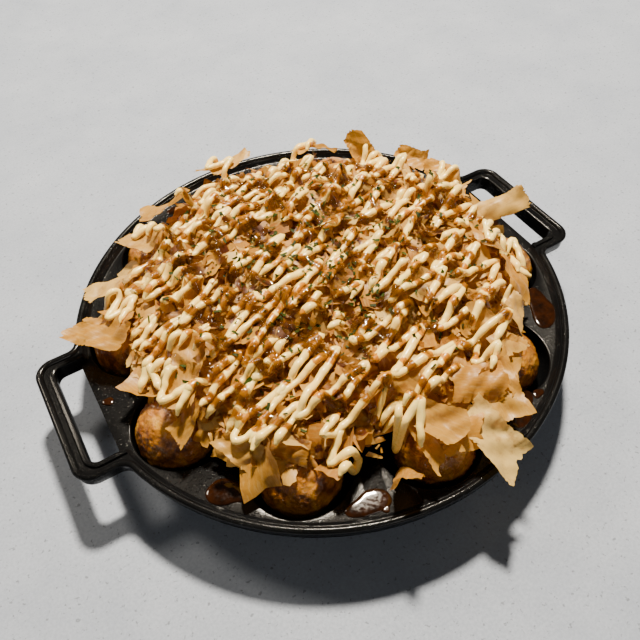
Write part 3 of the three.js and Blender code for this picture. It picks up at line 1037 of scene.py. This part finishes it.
def look_from(azimuth, elevation, roll):
    """Camera axes as (right, up, back). Azimuth 0 looks along +Y; elevation is above the horizon."""
    back = Vector((math.sin(azimuth) * math.cos(elevation), -math.cos(azimuth) * math.cos(elevation),
                   math.sin(elevation)))
    right = Vector((math.cos(azimuth), math.sin(azimuth), 0))
    up = back.cross(right)
    rolled = right * math.cos(roll) + up * math.sin(roll)
    return rolled, back.cross(rolled), back


CAMERA_AZIMUTH = math.radians(-28.09)
CAMERA_ELEVATION = math.radians(51.09)
CAMERA_ROLL = math.radians(-3.39)
CAMERA_DISTANCE = 0.3215
CAMERA_TARGET = Vector((-0.00705, -0.0127, 0.0325))
CAMERA_LENS = 37.45
SENSOR_WIDTH = 36


def add_camera():
    right, up, back = look_from(CAMERA_AZIMUTH, CAMERA_ELEVATION, CAMERA_ROLL)
    camera = bpy.data.objects.new("camera", bpy.data.cameras.new("camera"))
    bpy.context.scene.collection.objects.link(camera)
    turn = Matrix((right, up, back)).transposed()
    camera.matrix_world = Matrix.Translation(CAMERA_TARGET + back * CAMERA_DISTANCE) @ turn.to_4x4()
    camera.data.lens = CAMERA_LENS
    camera.data.sensor_width = SENSOR_WIDTH
    camera.data.clip_start = 0.01
    bpy.context.scene.camera = camera


def add_area_light(name, across, away, height, power, size, colour):
    """A soft light, placed by how far it is to the camera's right, away from the camera, and up."""
    right, _, _ = look_from(CAMERA_AZIMUTH, CAMERA_ELEVATION, 0)
    ahead = Vector((-math.sin(CAMERA_AZIMUTH), math.cos(CAMERA_AZIMUTH), 0))
    place = right * across + ahead * away + Vector((0, 0, height))
    light = bpy.data.lights.new(name, "AREA")
    light.energy = power
    light.shape = "DISK"
    light.size = size
    light.color = colour
    obj = bpy.data.objects.new(name, light)
    bpy.context.scene.collection.objects.link(obj)
    obj.location = place
    obj.rotation_euler = (place - Vector((0, 0, 0.03))).to_track_quat("Z", "Y").to_euler()


WARM = (1, 0.87, 0.69)
# Name, metres to the camera's right, away from it and up, watts, size in metres, colour
LIGHTS = (
    ("key", 0.05, 0.58, 1.25, 67, 0.15, WARM),
    ("side", -0.75, 0.45, 0.9, 6, 0.25, WARM),
    ("fill", 0.5, -1.1, 0.8, 2.2, 0.3, (1, 0.96, 0.9)),
)
WORLD_COLOUR = (1, 0.88, 0.74, 1)
WORLD_STRENGTH = 0.05


def add_lights():
    for light in LIGHTS:
        add_area_light(*light)
    world = bpy.data.worlds.new("studio")
    world.use_nodes = True
    backdrop = world.node_tree.nodes["Background"]
    backdrop.inputs["Color"].default_value = WORLD_COLOUR
    backdrop.inputs["Strength"].default_value = WORLD_STRENGTH
    bpy.context.scene.world = world


def main():
    pieces = [make_pan(cast_iron())]
    batter = browned_batter()
    balls = []
    for index, node in enumerate(BALL_NODES):
        ball, centre, radius = make_ball(node, index, batter)
        pieces.append(ball)
        balls.append((centre, radius))

    packed = bonito("bonito_packed", 0.0)
    thin = bonito("bonito", 0.4)
    core_points, core_faces, core_attributes = make_core(balls)
    loose, large, slivers = Parts(), Parts(), Parts()
    scatter_shavings(balls, loose)
    large_shavings(large)
    scatter_slivers(balls, slivers)

    beneath = [(core_points, core_faces)] + [(p.points(), p.faces) for p in (loose, large)]
    beneath += [ball_shape(p) for p in pieces[1:]]
    mayo = make_mayo(surface_of(*beneath))
    covered = surface_of(*beneath, (mayo.points(), mayo.faces))
    sauce, sauce_path = make_sauce(covered)

    core_attributes["stain"] = stain_near(core_points, sauce_path, 4)
    core = make_object("bonito_core", core_points, core_faces, packed, core_attributes)
    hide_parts("topping")
    thin_sauce = brown_sauce("sauce_thin", (0.13, 0.043, 0.0002), (0.018, 0.0048, 0.0001), 0.38)
    thick_sauce = brown_sauce("sauce_thick", (0.020, 0.0055, 0.001), (0.005, 0.0018, 0.0006), 1.0)
    toppings = [
        core,
        loose.make("bonito_shavings", thin, stain=stain_near(loose.points(), sauce_path, 2.8)),
        large.make("bonito_large_shavings", thin, stain=0.4 * stain_near(large.points(), sauce_path, 3)),
        slivers.make("bonito_slivers", thin, stain=0.6 * stain_near(slivers.points(), sauce_path, 2.0)),
        mayo.make("mayonnaise", mayonnaise(), stain=stain_near(mayo.points(), sauce_path, 3.0)),
        sauce.make("sauce_ribbons", thin_sauce),
        scatter_aonori(covered, aonori()),
        make_drops(thick_sauce),
    ]
    for piece in pieces + toppings:
        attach(piece, "root")

    add_floor(pale_floor())
    add_camera()
    add_lights()


main()
bpy.context.view_layer.update()
